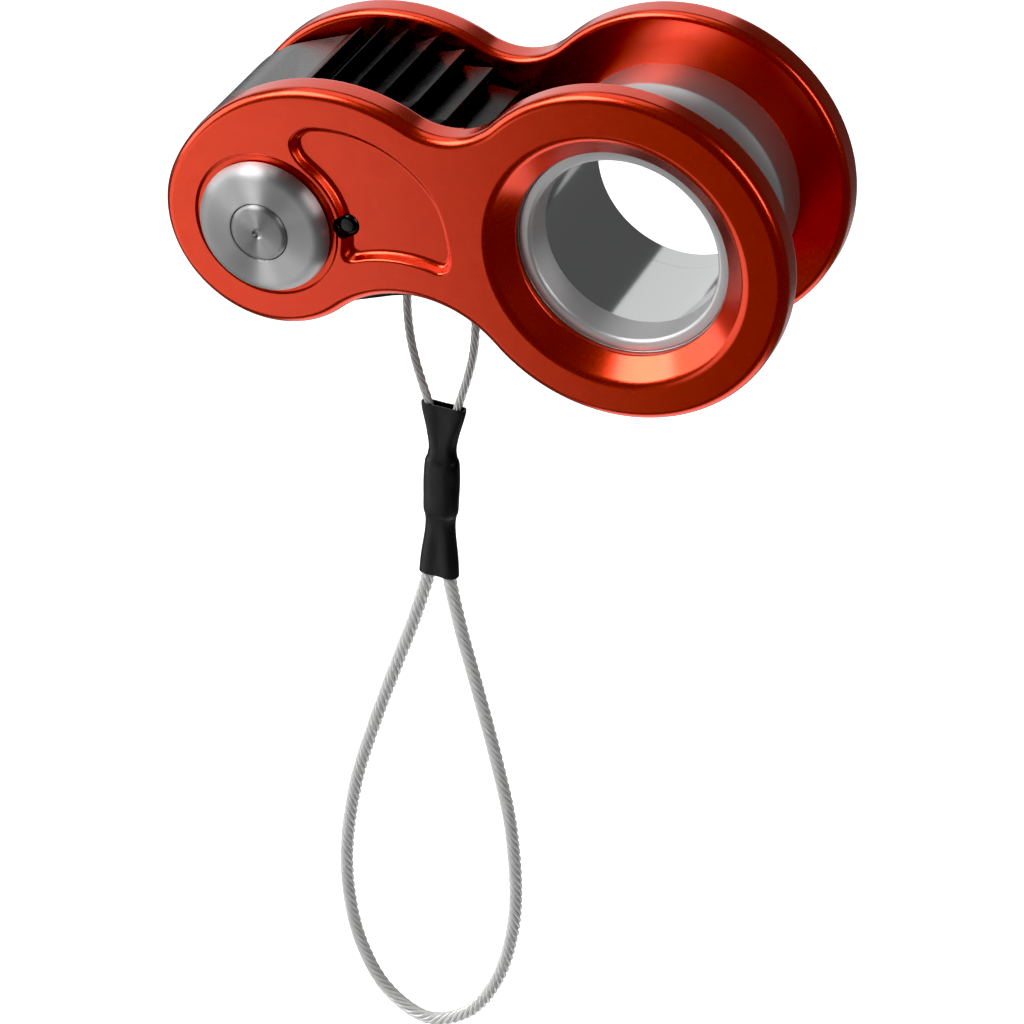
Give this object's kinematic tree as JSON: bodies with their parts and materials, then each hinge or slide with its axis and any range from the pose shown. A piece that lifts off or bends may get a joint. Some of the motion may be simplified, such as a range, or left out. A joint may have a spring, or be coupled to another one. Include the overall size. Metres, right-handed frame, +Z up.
{
  "type": "camming rope grab",
  "caption": "Compact rope grab: two side plates on a riveted axle, a sleeve round the carabiner eye, a sprung toothed cam and a wire pull loop.",
  "frame": {"origin": "centre of the carabiner eye, midway between the side plates", "axes": "+X from the axle to the eye, +Y along the eye's axis from the swinging front plate to the fixed rear plate, +Z up, with the pull loop hanging down"},
  "size_m": [0.0846, 0.034, 0.1628],
  "materials": {
    "anodised_plate": "orange-red anodised, satin",
    "sleeve_metal": "fine turned, satin",
    "eye_steel": "turned and polished",
    "axle_steel": "turned, satin",
    "bush_bronze": "plain",
    "washer_steel": "plain",
    "cam_steel": "gloss black",
    "spring_steel": "oiled",
    "black_pin": "black oxide",
    "wire_steel": "stranded",
    "clear_vinyl": "hazy clear",
    "ferrule_metal": "pressed",
    "heat_shrink": "satin black, shrunk"
  },
  "bodies": {
    "rear_frame": {"rear_plate": "anodised_plate", "rope_sleeve": "sleeve_metal", "front_eye_bush": "eye_steel", "rear_eye_bush": "eye_steel", "axle": "axle_steel", "front_axle_cap": "axle_steel", "rear_axle_cap": "axle_steel", "rear_thrust_washer": "washer_steel", "friction_washer": "washer_steel"},
    "front_side": {"front_plate": "anodised_plate", "plate_bush": "bush_bronze", "spring_anchor_pin": "black_pin", "front_thrust_washer": "washer_steel", "cam_spring": "spring_steel"},
    "cam_group": {"cam": "cam_steel", "cam_bush": "bush_bronze", "cord_pin": "washer_steel"},
    "pull_loop": {"pull_wire": "wire_steel", "clear_coat": "clear_vinyl", "ferrule": "ferrule_metal", "heat_shrink": "heat_shrink"}
  },
  "joints": [
    {"name": "plate_swing", "type": "hinge", "parent": "rear_frame", "child": "front_side", "pos_m": [-0.04724, 0, 0], "axis": [0, 1, 0], "range_deg": [0, 100]},
    {"name": "cam_pivot", "type": "hinge", "parent": "front_side", "child": "cam_group", "pos_m": [-0.04724, 0, 0], "axis": [0, 1, 0], "range_deg": [0, 75], "stiffness_Nm_per_rad": 0.1, "springref_deg": -34.38, "deforming": ["cam_spring"]},
    {"name": "pull_loop_swing", "type": "hinge", "parent": "cam_group", "child": "pull_loop", "pos_m": [-0.03, 0, -0.006], "axis": [0, 1, 0], "range_deg": [-45, 18]}
  ]
}
